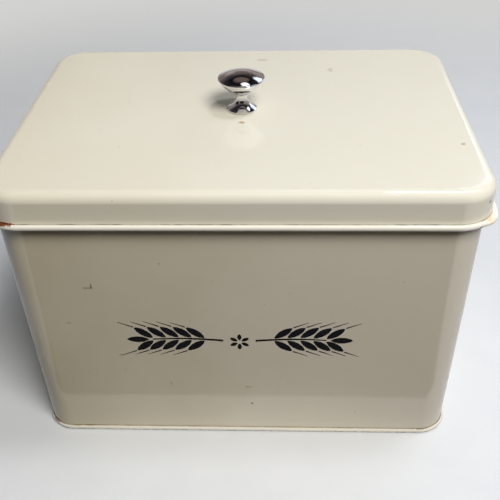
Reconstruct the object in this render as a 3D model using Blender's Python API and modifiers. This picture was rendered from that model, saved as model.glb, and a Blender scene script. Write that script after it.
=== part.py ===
"""Bread box: a coated steel box with a slip-over lid and a chrome knob.

Metres, +Z up. The origin is at the middle of the base, on the surface that the box stands on.
The front faces -Y. Pressed pieces are drawn along the middle of their sheet and then thickened.
Their sections are given as an offset outward from the outside of the wall, and a height.
"""

import math

import bmesh
import bpy
from mathutils import Vector

# Sheet and fits
SHEET = 0.0005
FIT = 0.0003

# Body wall, wrapped from one strip
BODY_WIDTH = 0.330
BODY_DEPTH = 0.232
BODY_HEIGHT = 0.231
BODY_CORNER = 0.022
RIM_RADIUS = 0.0012
RIM_TURN = math.radians(290)

# Lock seam up the middle of the back, where the ends of the strip meet
LOCK_WIDTH = 0.006
LOCK_SLOPE = 0.0010
LOCK_END_GAP = 0.004

# Bottom seam: the wall's flange, and the bottom panel folded round it
SEAM_HEIGHT = 0.0040
FLANGE_BEND = 0.00045
FOLD_BEND = 0.0007

# Bottom panel, raised inside the seam
FLOOR_RISE = 0.0050
FLOOR_BEND = 0.0015

# Lid
LID_PLAY = 0.0011
LID_HEIGHT = 0.0265
LID_EDGE = 0.0085

# Rolled lower edge of the lid, which opens out into a gutter at each corner
HEM_RADIUS = 0.0014
HEM_TURN = math.radians(290)
FLARE_RADIUS = 0.0023
FLARE_TURN = math.radians(150)
FLARE_SHARPNESS = 4

# Knob
KNOB_RADIUS = 0.0175
KNOB_HEIGHT = 0.0295
KNOB_BRIM_HEIGHT = 0.0245
KNOB_BRIM_EDGE = 0.0007
KNOB_FOOT_RADIUS = 0.0111
KNOB_FOOT_EDGE = 0.0010
KNOB_NECK_RADIUS = 0.0039
KNOB_NECK_HEIGHT = 0.0110
KNOB_COLLAR_RADIUS = 0.0049
KNOB_COLLAR_EDGE = 0.0008
KNOB_BORE_DEPTH = 0.0090
FOOT_CURVE_POWER = 2.0
UNDERSIDE_BEND_SHARES = (0.68, 0.28)

# Screw and washer under the lid
SHANK_RADIUS = 0.0020
SHANK_REACH = 0.0070
SHANK_CHAMFER = 0.0004
HEAD_RADIUS = 0.0040
HEAD_HEIGHT = 0.0026
HEAD_CURVE_POWER = 0.5
RECESS_WIDTH = 0.0010
RECESS_LENGTH = 0.0045
RECESS_DEPTH = 0.0014
WASHER_RADIUS = 0.0060
WASHER_THICKNESS = 0.0010

# Smoothness of the faceted shapes
CORNER_STEPS = 8
EDGE_STEPS = 6
ROLL_STEPS = 10
FOLD_STEPS = 3
TURNED_STEPS = 32
PROFILE_STEPS = 8
SHARP_ANGLE = math.radians(35)
MERGE_DISTANCE = 0.00001
CUT_OVERRUN = 0.002

# Sizes worked out from the fits
HALF_SHEET = SHEET / 2
QUARTER_TURN = math.radians(90)
RIM_OUTER_RADIUS = RIM_RADIUS + HALF_SHEET
SKIRT_INSIDE = 2 * RIM_RADIUS + LID_PLAY
SKIRT_MIDDLE = SKIRT_INSIDE + HALF_SHEET
HOLE_RADIUS = SHANK_RADIUS + FIT


def seated_lid_top():
    """Height of the lid's top when the inside of its edge rests on the rolled rim."""
    edge_inside = LID_EDGE - SHEET
    reach = edge_inside - RIM_OUTER_RADIUS - FIT
    sideways = edge_inside - RIM_OUTER_RADIUS - LID_PLAY
    rim_middle = BODY_HEIGHT - RIM_OUTER_RADIUS
    edge_middle = rim_middle - math.sqrt(reach ** 2 - sideways ** 2)
    return edge_middle + LID_EDGE


def start_empty_scene():
    for old in list(bpy.data.objects):
        bpy.data.objects.remove(old, do_unlink=True)
    collections = {}
    for name in ("bread_box", "cutters"):
        collections[name] = bpy.data.collections.new(name)
        bpy.context.scene.collection.children.link(collections[name])
    return collections


def paint(piece, colour, roughness, metallic):
    """Give a piece a material of its own."""
    material = bpy.data.materials.new(piece.name + "_finish")
    material.use_nodes = True
    shader = material.node_tree.nodes["Principled BSDF"]
    shader.inputs["Base Color"].default_value = (*colour, 1)
    shader.inputs["Roughness"].default_value = roughness
    shader.inputs["Metallic"].default_value = metallic
    piece.data.materials.append(material)


def coat_cream(piece):
    paint(piece, (0.78, 0.74, 0.62), 0.25, 0)


def plate_chrome(piece):
    paint(piece, (0.80, 0.80, 0.81), 0.06, 1)


def plate_zinc(piece):
    paint(piece, (0.62, 0.62, 0.60), 0.35, 1)


def new_piece(name, bm, collection):
    mesh = bpy.data.meshes.new(name)
    bmesh.ops.recalc_face_normals(bm, faces=bm.faces)
    bm.to_mesh(mesh)
    bm.free()
    piece = bpy.data.objects.new(name, mesh)
    collection.objects.link(piece)
    return piece


def shade(piece):
    piece.data.shade_smooth()
    piece.data.set_sharp_from_angle(angle=SHARP_ANGLE)


def mix(first, second, share):
    return first + (second - first) * share


def arc(centre, radius, start, turn, steps):
    """Points along an arc, each an offset and a height."""
    points = []
    for step in range(steps + 1):
        angle = start + turn * step / steps
        points.append((centre[0] + radius * math.cos(angle), centre[1] + radius * math.sin(angle)))
    return points


def wall_stations(with_lock=False):
    """Stations round the wall: corner centre, outward direction, corner share and lock share."""
    stations = []
    for quarter in range(4):
        middle = QUARTER_TURN * (quarter + 0.5)
        centre = Vector((
            math.copysign(BODY_WIDTH / 2 - BODY_CORNER, math.cos(middle)),
            math.copysign(BODY_DEPTH / 2 - BODY_CORNER, math.sin(middle)),
            0,
        ))
        for step in range(CORNER_STEPS + 1):
            bend = QUARTER_TURN * step / CORNER_STEPS
            angle = QUARTER_TURN * quarter + bend
            outward = Vector((math.cos(angle), math.sin(angle), 0))
            corner_share = math.sin(2 * bend) ** FLARE_SHARPNESS
            stations.append((centre, outward, corner_share, 0))
        if with_lock and quarter == 0:
            stations.extend(lock_stations(centre.y))
    return stations


def lock_stations(centre_y):
    """Stations across the lock seam, from right to left along the back."""
    half = LOCK_WIDTH / 2
    stations = []
    for x, share in ((half + LOCK_SLOPE, 0), (half, 1), (-half, 1), (-half - LOCK_SLOPE, 0)):
        stations.append((Vector((x, centre_y, 0)), Vector((0, 1, 0)), 0, share))
    return stations


def station_point(station, offset, height):
    centre, outward, _, _ = station
    point = centre + outward * (BODY_CORNER + offset)
    point.z = height
    return point


def extrude_ring(bm, ring, places):
    """Extrude a closed ring of edges and move each new point to its place."""
    edges = [bm.edges.get((ring[index - 1], ring[index])) for index in range(len(ring))]
    made = bmesh.ops.extrude_edge_only(bm, edges=edges)
    fresh = {item for item in made["geom"] if isinstance(item, bmesh.types.BMVert)}
    following = []
    for vert, place in zip(ring, places):
        twin = next(edge.other_vert(vert) for edge in vert.link_edges if edge.other_vert(vert) in fresh)
        twin.co = place
        following.append(twin)
    return following


def pressed_sheet(name, stations, sections, collection, closed_start):
    """Sheet whose section at each station is a list of offsets and heights, thickened to a solid."""
    bm = bmesh.new()
    ring = []
    for station, section in zip(stations, sections):
        ring.append(bm.verts.new(station_point(station, *section[0])))
    edges = [bm.edges.new((ring[index - 1], ring[index])) for index in range(len(ring))]
    if closed_start:
        bmesh.ops.contextual_create(bm, geom=edges)
    for level in range(1, len(sections[0])):
        places = [
            station_point(station, *section[level])
            for station, section in zip(stations, sections)
        ]
        ring = extrude_ring(bm, ring, places)
    piece = new_piece(name, bm, collection)
    shade(piece)
    thickness = piece.modifiers.new("sheet", "SOLIDIFY")
    thickness.thickness = SHEET
    thickness.offset = 0
    thickness.use_even_offset = True
    return piece


def turned_piece(name, profile, collection, closed=False):
    """Solid turned about Z from a profile that runs down its outer side."""
    bm = bmesh.new()
    verts = [bm.verts.new((radius, 0, height)) for radius, height in profile]
    for first, second in zip(verts, verts[1:]):
        bm.edges.new((first, second))
    if closed:
        bm.edges.new((verts[-1], verts[0]))
    piece = new_piece(name, bm, collection)
    turn = piece.modifiers.new("turn", "SCREW")
    turn.axis = "Z"
    turn.steps = TURNED_STEPS
    turn.render_steps = TURNED_STEPS
    turn.use_merge_vertices = True
    turn.merge_threshold = MERGE_DISTANCE
    turn.use_smooth_shade = True
    return piece


def cut(piece, cutter):
    cutter.hide_render = True
    cutter.display_type = "WIRE"
    cutting = piece.modifiers.new("cut_" + cutter.name, "BOOLEAN")
    cutting.operation = "DIFFERENCE"
    cutting.object = cutter


def wall_section(lock_share):
    """Rolled rim, wall, and the flange hooked up outside it."""
    rim_centre = (RIM_RADIUS - HALF_SHEET, BODY_HEIGHT - RIM_OUTER_RADIUS)
    wall_top = rim_centre[1] - LOCK_END_GAP
    wall_foot = SEAM_HEIGHT + LOCK_END_GAP
    lock_offset = 2 * SHEET * lock_share - HALF_SHEET
    flange_centre = (FLANGE_BEND - HALF_SHEET, SHEET + FIT + HALF_SHEET + FLANGE_BEND)
    flange_top = SEAM_HEIGHT - SHEET - FIT
    section = arc(rim_centre, RIM_RADIUS, math.pi - RIM_TURN, RIM_TURN, ROLL_STEPS)
    section.append((-HALF_SHEET, wall_top))
    section.append((lock_offset, wall_top - LOCK_SLOPE))
    section.append((lock_offset, wall_foot + LOCK_SLOPE))
    section.append((-HALF_SHEET, wall_foot))
    section.extend(arc(flange_centre, FLANGE_BEND, math.pi, math.pi, 2 * FOLD_STEPS))
    section.append((flange_centre[0] + FLANGE_BEND, flange_top))
    return section


def make_body_wall(collection):
    stations = wall_stations(with_lock=True)
    sections = [wall_section(lock_share) for _, _, _, lock_share in stations]
    wall = pressed_sheet("body_wall", stations, sections, collection, closed_start=False)
    coat_cream(wall)
    return wall


def panel_section():
    """Edge of the bottom: down inside the wall, under its flange, and folded over the flange."""
    inner = -SHEET - FIT - HALF_SHEET
    outer = 2 * FLANGE_BEND + FIT + HALF_SHEET
    foot = HALF_SHEET + FOLD_BEND
    fold_top = SEAM_HEIGHT - HALF_SHEET
    floor = FLOOR_RISE - HALF_SHEET
    section = arc((inner - FLOOR_BEND, floor - FLOOR_BEND), FLOOR_BEND, QUARTER_TURN, -QUARTER_TURN,
                  FOLD_STEPS)
    section.extend(arc((inner + FOLD_BEND, foot), FOLD_BEND, math.pi, QUARTER_TURN, FOLD_STEPS))
    section.extend(arc((outer - FOLD_BEND, foot), FOLD_BEND, -QUARTER_TURN, QUARTER_TURN, FOLD_STEPS))
    section.extend(arc((outer - FOLD_BEND, fold_top - FOLD_BEND), FOLD_BEND, 0, QUARTER_TURN, FOLD_STEPS))
    section.append((FIT, fold_top))
    return section


def make_bottom_panel(collection):
    stations = wall_stations()
    sections = [panel_section() for _ in stations]
    panel = pressed_sheet("bottom_panel", stations, sections, collection, closed_start=True)
    coat_cream(panel)
    return panel


def lid_section(corner_share):
    """Top edge, skirt and rolled hem, with heights measured from the top of the lid."""
    edge_radius = LID_EDGE - HALF_SHEET
    roll_radius = mix(HEM_RADIUS, FLARE_RADIUS, corner_share)
    roll_turn = mix(HEM_TURN, FLARE_TURN, corner_share)
    roll_centre = (SKIRT_MIDDLE + roll_radius, HALF_SHEET + roll_radius - LID_HEIGHT)
    section = arc((SKIRT_MIDDLE - edge_radius, -LID_EDGE), edge_radius, QUARTER_TURN, -QUARTER_TURN,
                  EDGE_STEPS)
    section.extend(arc(roll_centre, roll_radius, math.pi, roll_turn, ROLL_STEPS))
    return section


def make_lid_shell(collection, cutters):
    stations = wall_stations()
    sections = [lid_section(corner_share) for _, _, corner_share, _ in stations]
    shell = pressed_sheet("lid_shell", stations, sections, collection, closed_start=True)
    bpy.ops.mesh.primitive_cylinder_add(
        vertices=TURNED_STEPS, radius=HOLE_RADIUS, depth=SHEET + 2 * CUT_OVERRUN)
    drill = move_to(bpy.context.object, "screw_hole_drill", cutters)
    drill.location.z = seated_lid_top()
    cut(shell, drill)
    coat_cream(shell)
    return shell


def move_to(piece, name, collection):
    """Name an object that an operator has just added, and move it to its collection."""
    piece.name = name
    for holder in list(piece.users_collection):
        holder.objects.unlink(piece)
    collection.objects.link(piece)
    return piece


def bend_points(start, control, end, steps):
    """Points along a curve with one control point, after its start."""
    points = []
    for step in range(1, steps + 1):
        t = step / steps
        points.append(tuple(
            (1 - t) ** 2 * a + 2 * t * (1 - t) * b + t ** 2 * c
            for a, b, c in zip(start, control, end)
        ))
    return points


def knob_profile():
    crown_radius = KNOB_RADIUS - KNOB_BRIM_EDGE
    crown_foot = KNOB_BRIM_HEIGHT + KNOB_BRIM_EDGE
    profile = []
    for step in range(PROFILE_STEPS):
        share = step / PROFILE_STEPS
        profile.append((crown_radius * share, mix(KNOB_HEIGHT, crown_foot, share ** 2)))
    profile.extend(arc((crown_radius, KNOB_BRIM_HEIGHT), KNOB_BRIM_EDGE, QUARTER_TURN, -QUARTER_TURN,
                       FOLD_STEPS))
    collar_middle = KNOB_NECK_HEIGHT + 2 * KNOB_COLLAR_EDGE
    collar_flat = KNOB_COLLAR_RADIUS - KNOB_COLLAR_EDGE
    collar_top = (collar_flat, collar_middle + KNOB_COLLAR_EDGE)
    brim = (KNOB_RADIUS, KNOB_BRIM_HEIGHT)
    control = tuple(mix(a, b, share) for a, b, share in zip(collar_top, brim, UNDERSIDE_BEND_SHARES))
    profile.extend(bend_points(brim, control, collar_top, PROFILE_STEPS))
    profile.extend(arc((collar_flat, collar_middle), KNOB_COLLAR_EDGE, QUARTER_TURN, -math.pi,
                       2 * FOLD_STEPS)[1:])
    for step in range(PROFILE_STEPS + 1):
        share = step / PROFILE_STEPS
        radius = mix(KNOB_NECK_RADIUS, KNOB_FOOT_RADIUS, share ** FOOT_CURVE_POWER)
        profile.append((radius, mix(KNOB_NECK_HEIGHT, KNOB_FOOT_EDGE, share)))
    profile.append((KNOB_FOOT_RADIUS, 0))
    profile.append((HOLE_RADIUS, 0))
    profile.append((HOLE_RADIUS, KNOB_BORE_DEPTH))
    profile.append((0, KNOB_BORE_DEPTH))
    return profile


def make_knob(collection):
    knob = turned_piece("knob", knob_profile(), collection)
    plate_chrome(knob)
    knob.location.z = FIT
    return knob


def make_screw_washer(collection):
    profile = [
        (WASHER_RADIUS, 0),
        (WASHER_RADIUS, -WASHER_THICKNESS),
        (HOLE_RADIUS, -WASHER_THICKNESS),
        (HOLE_RADIUS, 0),
    ]
    washer = turned_piece("screw_washer", profile, collection, closed=True)
    plate_zinc(washer)
    washer.location.z = -SHEET - FIT
    return washer


def screw_profile(shank_length):
    profile = [
        (0, shank_length),
        (SHANK_RADIUS - SHANK_CHAMFER, shank_length),
        (SHANK_RADIUS, shank_length - SHANK_CHAMFER),
        (SHANK_RADIUS, 0),
        (HEAD_RADIUS, 0),
    ]
    for step in range(1, PROFILE_STEPS):
        angle = QUARTER_TURN * step / PROFILE_STEPS
        profile.append((HEAD_RADIUS * math.cos(angle) ** HEAD_CURVE_POWER, -HEAD_HEIGHT * math.sin(angle)))
    profile.append((0, -HEAD_HEIGHT))
    return profile


def make_knob_screw(collection, cutters):
    seat = -SHEET - FIT - WASHER_THICKNESS - FIT
    screw = turned_piece("knob_screw", screw_profile(FIT + SHANK_REACH - seat), collection)
    screw.location.z = seat
    for turn, name in ((0, "recess_one"), (QUARTER_TURN, "recess_two")):
        bpy.ops.mesh.primitive_cube_add(size=1)
        cutter = move_to(bpy.context.object, name, cutters)
        cutter.scale = (RECESS_LENGTH, RECESS_WIDTH, 2 * RECESS_DEPTH)
        cutter.rotation_euler.z = turn
        cutter.location.z = seated_lid_top() + seat - HEAD_HEIGHT
        cut(screw, cutter)
    plate_zinc(screw)
    return screw


def main():
    collections = start_empty_scene()
    parts = collections["bread_box"]
    cutters = collections["cutters"]
    make_body_wall(parts)
    make_bottom_panel(parts)
    lid_lift = bpy.data.objects.new("lid_lift", None)
    lid_lift.location.z = seated_lid_top()
    parts.objects.link(lid_lift)
    for piece in (
        make_lid_shell(parts, cutters),
        make_knob(parts),
        make_screw_washer(parts),
        make_knob_screw(parts, cutters),
    ):
        piece.parent = lid_lift


main()
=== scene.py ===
"""Looks of the bread box: a coated steel box with a slip-over lid and a chrome knob.

Metres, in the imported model's own frame: +Z up, the front faces -Y. Pressed pieces are drawn along the
middle of their sheet and then thickened. A section is a list of points, each an offset outward from the
outside of the wall, and a height.
"""

import math
from typing import NamedTuple

import bmesh
import bpy
from mathutils import Matrix, Vector, noise


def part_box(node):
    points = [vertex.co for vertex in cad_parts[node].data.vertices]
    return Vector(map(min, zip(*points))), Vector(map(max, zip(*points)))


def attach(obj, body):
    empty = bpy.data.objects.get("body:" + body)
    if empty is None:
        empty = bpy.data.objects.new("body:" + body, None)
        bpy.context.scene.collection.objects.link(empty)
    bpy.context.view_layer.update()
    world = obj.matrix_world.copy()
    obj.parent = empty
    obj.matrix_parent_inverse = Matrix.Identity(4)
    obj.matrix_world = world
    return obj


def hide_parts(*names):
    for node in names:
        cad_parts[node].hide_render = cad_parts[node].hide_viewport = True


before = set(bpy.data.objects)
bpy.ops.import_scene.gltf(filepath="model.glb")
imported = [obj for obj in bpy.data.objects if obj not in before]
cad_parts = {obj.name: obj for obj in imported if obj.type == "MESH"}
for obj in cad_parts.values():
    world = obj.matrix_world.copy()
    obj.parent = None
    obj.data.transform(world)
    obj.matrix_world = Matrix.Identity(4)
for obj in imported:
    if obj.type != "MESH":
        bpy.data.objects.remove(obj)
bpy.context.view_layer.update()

MILLIMETRE = 0.001
QUARTER_TURN = math.radians(90)
FULL_TURN = math.radians(360)
RIGHTWARD = Vector((1, 0, 0))
BACKWARD = Vector((0, 1, 0))
UP = Vector((0, 0, 1))

# Sheet and fits
SHEET = 0.5 * MILLIMETRE
HALF_SHEET = SHEET / 2
FIT = 0.3 * MILLIMETRE

# Wall, with a rolled rim at its top, wrapped from one strip
RIM_RADIUS = 1.2 * MILLIMETRE
RIM_TURN = math.radians(290)
WALL_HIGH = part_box("body_wall")[1]
HALF_WIDTH = WALL_HIGH.x - 2 * RIM_RADIUS
HALF_DEPTH = WALL_HIGH.y - 2 * RIM_RADIUS
BODY_HEIGHT = WALL_HIGH.z
CORNER = 22 * MILLIMETRE
CORNER_CENTRE = Vector((HALF_WIDTH - CORNER, HALF_DEPTH - CORNER, 0))

# Lock seam up the middle of the back
LOCK_HALF_WIDTH = 3 * MILLIMETRE
LOCK_SLOPE = 1 * MILLIMETRE
LOCK_END_GAP = 4 * MILLIMETRE

# Seam round the base: the wall's flange, and the bottom panel folded round it
SEAM_HEIGHT = 4 * MILLIMETRE
FLANGE_BEND = 0.45 * MILLIMETRE
FOLD_BEND = 0.7 * MILLIMETRE
FOLD_FOOT_BEND = FLANGE_BEND + SHEET + FIT
FOLD_TOP_BEND = 1 * MILLIMETRE
FLOOR_BEND = 1.5 * MILLIMETRE
FLOOR_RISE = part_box("bottom_panel")[1].z

# Lid
LID_LOW, LID_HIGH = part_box("lid_shell")
LID_TOP = LID_HIGH.z
LID_FOOT = LID_LOW.z
LID_EDGE = 7.6 * MILLIMETRE
HEM_RADIUS = 1.45 * MILLIMETRE
HEM_STRETCH = 1.25
HEM_CREASE_RADIUS = 0.35 * MILLIMETRE
HEM_END = math.radians(-150)
FLARE_REACH = 4.6 * MILLIMETRE
FLARE_RADIUS = 1 * MILLIMETRE
FLARE_CREASE_RADIUS = 2.8 * MILLIMETRE
SKIRT_FOOT = LID_HIGH.x - HALF_WIDTH - 2 * HEM_RADIUS - HALF_SHEET
SKIRT_DRAFT = 0.15 * MILLIMETRE
COVE_DEPTH = 0.3 * MILLIMETRE
COVE_HEIGHT = 3.6 * MILLIMETRE
SKIRT_TOP = SKIRT_FOOT - COVE_DEPTH - SKIRT_DRAFT

# Where the rolled edge opens into a lip and closes again, as shares of the way round a corner
FLARE_OPENS = (0.04, 0.3)
FLARE_CLOSES = (0.42, 0.68)

# Knob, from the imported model's height and width
KNOB_LOW, KNOB_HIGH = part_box("knob")
KNOB_RADIUS = KNOB_HIGH.x
KNOB_HEIGHT = KNOB_HIGH.z - KNOB_LOW.z
KNOB_BRIM_HEIGHT = 24.5 * MILLIMETRE
KNOB_BRIM_EDGE = 0.7 * MILLIMETRE
KNOB_FOOT_RADIUS = 11.1 * MILLIMETRE
KNOB_FOOT_EDGE = 1 * MILLIMETRE
KNOB_FOOT_ROUND = 0.3 * MILLIMETRE
KNOB_NECK_RADIUS = 4.2 * MILLIMETRE
KNOB_NECK_HEIGHT = 11 * MILLIMETRE
KNOB_COLLAR_RADIUS = 5.2 * MILLIMETRE
KNOB_COLLAR_EDGE = 0.8 * MILLIMETRE
KNOB_BORE_DEPTH = 9 * MILLIMETRE
FOOT_CURVE_POWER = 2.6

# Where the knob's hollowed underside bends: shares of the way out and up from its collar to its brim
UNDERSIDE_BEND_SHARES = (0.68, 0.28)

# Screw and washer under the lid
SCREW_LOW, SCREW_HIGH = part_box("knob_screw")
WASHER_LOW, WASHER_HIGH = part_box("screw_washer")
SHANK_RADIUS = 2 * MILLIMETRE
SHANK_CHAMFER = 0.4 * MILLIMETRE
HOLE_RADIUS = SHANK_RADIUS + FIT
HEAD_RADIUS = SCREW_HIGH.x
HEAD_HEIGHT = 2.6 * MILLIMETRE
HEAD_CURVE_POWER = 0.5
RECESS_LENGTH = 4.5 * MILLIMETRE
RECESS_WIDTH = 1 * MILLIMETRE
RECESS_DEPTH = 1.4 * MILLIMETRE
WASHER_ROUND = 0.2 * MILLIMETRE

# How far rolling and pressing leave a panel out of flat, but for a flat seat under the knob
WALL_BULGE = 0.35 * MILLIMETRE
WAVE_HEIGHT = 0.22 * MILLIMETRE
WAVE_LENGTH = 75 * MILLIMETRE
KNOB_SEAT = 16 * MILLIMETRE
KNOB_SEAT_FADE = 30 * MILLIMETRE

# How far apart the four walls lie in the noise, so that each has waves of its own
PANELS_APART = 1000 * MILLIMETRE

# Wheat ornament printed on the front
ORNAMENT_MIDDLE = Vector((-1 * MILLIMETRE, 103 * MILLIMETRE, 0))
INK_PROUD = 0.04 * MILLIMETRE
INK_SUNK = 0.1 * MILLIMETRE
GRAIN_LENGTH = 16.5 * MILLIMETRE
GRAIN_WIDTH = 5.9 * MILLIMETRE
GRAIN_PAIRS = 5
GRAIN_SPACING = 9.6 * MILLIMETRE
GRAIN_LEAN = math.radians(38)
GRAIN_GAP = 1.5 * MILLIMETRE
GRAIN_POINT_POWER = 1.5
AWN_LENGTH = 12 * MILLIMETRE
AWN_WIDTH = 1.1 * MILLIMETRE
AWN_GAP = 0.9 * MILLIMETRE
AWN_LEAN_SHARE = 0.62
AWN_TIP_SHARE = 0.35
STEM_START = 12 * MILLIMETRE
STEM_WIDTH = 2 * MILLIMETRE
STEM_TIP_SHARE = 0.6
EAR_START = 26 * MILLIMETRE
EAR_END = 84 * MILLIMETRE
EAR_RISE = 3 * MILLIMETRE
LAST_PAIR = EAR_START + (GRAIN_PAIRS - 1) * GRAIN_SPACING
PETALS = 6
PETAL_LENGTH = 6.2 * MILLIMETRE
PETAL_WIDTH = 3.2 * MILLIMETRE
PETAL_START = 1.8 * MILLIMETRE

# Fineness of the meshes
CORNER_STEPS = 64
EDGE_STEPS = 16
ROLL_STEPS = 24
FOLD_STEPS = 6
COVE_STEPS = 6
CREASE_STEPS = 10
WALL_STEPS = 22
TURNED_STEPS = 96
PROFILE_STEPS = 32
GRAIN_STEPS = 28
STRIP_STEPS = 24
PANEL_CELL = 11 * MILLIMETRE
BEND_MARGIN = 1 * MILLIMETRE
MERGE_DISTANCE = 0.005 * MILLIMETRE
SHARP_ANGLE = math.radians(35)

# Camera, from the outlines in the photograph
CAMERA_PLACE = Vector((0.02666, -0.48759, 0.47573))
CAMERA_DOWN = math.radians(37.629)
CAMERA_TURN = math.radians(2.777)
CAMERA_ROLL = math.radians(-1.569)
CAMERA_LENS = 50.62


def mix(first, second, share):
    """Value at a share of the way from a first to a second."""
    return first + (second - first) * share


def ease(share):
    """1 at the middle of a panel, easing to nothing at its edge."""
    return (1 - min(abs(share), 1) ** 2) ** 2


def ease_between(value, low, high):
    """Eases from 0 up to 1 as a value goes from low to high."""
    share = min(max((value - low) / (high - low), 0), 1)
    return share * share * (3 - 2 * share)


def arc(centre, radius, start, turn, steps, stretch=1):
    """Points along an arc, each an offset and a height. A stretch over 1 makes the arc taller."""
    points = []
    for step in range(steps + 1):
        angle = start + turn * step / steps
        offset = centre[0] + radius * math.cos(angle)
        height = centre[1] + radius * stretch * math.sin(angle)
        points.append((offset, height))
    return points


def straight(start, end, steps):
    """Points from a start to an end, both of them included."""
    return [tuple(mix(a, b, step / steps) for a, b in zip(start, end)) for step in range(steps + 1)]


def new_piece(name, bm):
    """A finished bmesh as an object at the origin."""
    mesh = bpy.data.meshes.new(name)
    bm.to_mesh(mesh)
    bm.free()
    piece = bpy.data.objects.new(name, mesh)
    bpy.context.scene.collection.objects.link(piece)
    return piece


def apply_modifiers(piece):
    """Make a piece's modifiers part of its mesh."""
    depsgraph = bpy.context.evaluated_depsgraph_get()
    drawn = piece.data
    piece.data = bpy.data.meshes.new_from_object(piece.evaluated_get(depsgraph))
    piece.modifiers.clear()
    bpy.data.meshes.remove(drawn)


def shade(piece):
    """Smooth shading, but for edges that turn sharply."""
    piece.data.shade_smooth()
    piece.data.set_sharp_from_angle(angle=SHARP_ANGLE)


def finish_piece(piece, body, node_name, material):
    """Shade and coat a piece, attach it to the body it rides on, and hide the imported node it stands in
    for.
    """
    shade(piece)
    piece.data.materials.clear()
    piece.data.materials.append(material)
    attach(piece, body)
    if node_name:
        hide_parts(node_name)


# Pressed sheet


def fresh_chain(made):
    """The points that an extrusion or a spin has just made, and the edges between them."""
    verts = [item for item in made if isinstance(item, bmesh.types.BMVert)]
    known = set(verts)
    edges = [
        item for item in made
        if isinstance(item, bmesh.types.BMEdge) and all(vert in known for vert in item.verts)
    ]
    return verts, edges


def draw_out(bm, edges, direction, length):
    """Extrude a chain of edges straight, with a short first step that holds the bend's shading."""
    for step in (BEND_MARGIN, length - BEND_MARGIN):
        verts, edges = fresh_chain(bmesh.ops.extrude_edge_only(bm, edges=edges)["geom"])
        bmesh.ops.translate(bm, verts=verts, vec=direction * step)


def bend_corner(bm, along, section_at):
    """Give the points round a corner the section that belongs to how far round they are."""
    for vert in bm.verts:
        outward = vert.co - CORNER_CENTRE
        bend = math.atan2(outward.y, outward.x)
        offset, height = section_at(bend / QUARTER_TURN)[vert[along]]
        reach = CORNER + offset
        vert.co = CORNER_CENTRE + Vector((reach * math.cos(bend), reach * math.sin(bend), height))


def swept_sheet(section_at):
    """Sheet that follows a section round the box: one corner is spun, drawn out and mirrored twice.

    section_at gives the section at a share of the way round a corner, counted from the side of the box.
    """
    bm = bmesh.new()
    along = bm.verts.layers.int.new("along")
    start = []
    for index, (offset, height) in enumerate(section_at(0)):
        vert = bm.verts.new((HALF_WIDTH + offset, CORNER_CENTRE.y, height))
        vert[along] = index
        start.append(vert)
    start_edges = [bm.edges.new(pair) for pair in zip(start, start[1:])]
    spun = bmesh.ops.spin(
        bm, geom=start + start_edges, cent=CORNER_CENTRE, axis=UP, dvec=(0, 0, 0),
        angle=QUARTER_TURN, steps=CORNER_STEPS, use_merge=False, use_duplicate=False)
    end_edges = fresh_chain(spun["geom_last"])[1]
    bend_corner(bm, along, section_at)
    draw_out(bm, end_edges, -RIGHTWARD, CORNER_CENTRE.x)
    draw_out(bm, start_edges, -BACKWARD, CORNER_CENTRE.y)
    for axis in ("X", "Y"):
        bmesh.ops.mirror(
            bm, geom=bm.verts[:] + bm.edges[:] + bm.faces[:], matrix=Matrix.Identity(4),
            merge_dist=MERGE_DISTANCE, axis=axis)
    bmesh.ops.remove_doubles(bm, verts=bm.verts, dist=MERGE_DISTANCE)
    return bm


def close_panel(bm):
    """Fill the ring where the section starts with one flat panel."""
    along = bm.verts.layers.int["along"]
    open_edges = [edge for edge in bm.edges if edge.is_boundary]
    rim = [edge for edge in open_edges if all(vert[along] == 0 for vert in edge.verts)]
    bmesh.ops.contextual_create(bm, geom=rim)


def cut_across(bm, place, direction):
    """Cut all faces along a plane through a place, without parting them."""
    bmesh.ops.bisect_plane(
        bm, geom=bm.verts[:] + bm.edges[:] + bm.faces[:], dist=MERGE_DISTANCE,
        plane_co=place, plane_no=direction)


def cut_cells(bm):
    """Cut the straight stretches and panels into cells that can stand out of flat."""
    for direction, reach in ((RIGHTWARD, CORNER_CENTRE.x), (BACKWARD, CORNER_CENTRE.y)):
        cells = round(2 * reach / PANEL_CELL)
        for cell in range(cells + 1):
            cut_across(bm, direction * (2 * reach * cell / cells - reach), direction)


def pressed_piece(name, bm):
    """Thicken a drawn sheet evenly to both sides."""
    bmesh.ops.recalc_face_normals(bm, faces=bm.faces)
    piece = new_piece(name, bm)
    sheet = piece.modifiers.new("sheet", "SOLIDIFY")
    sheet.thickness = SHEET
    sheet.offset = 0
    sheet.use_even_offset = True
    apply_modifiers(piece)
    return piece


# Body wall


WALL_TOP = BODY_HEIGHT - RIM_RADIUS - HALF_SHEET - LOCK_END_GAP
WALL_FOOT = SEAM_HEIGHT + LOCK_END_GAP
WALL_MIDDLE = (WALL_TOP + WALL_FOOT) / 2
WALL_REACH = (WALL_TOP - WALL_FOOT) / 2


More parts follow.
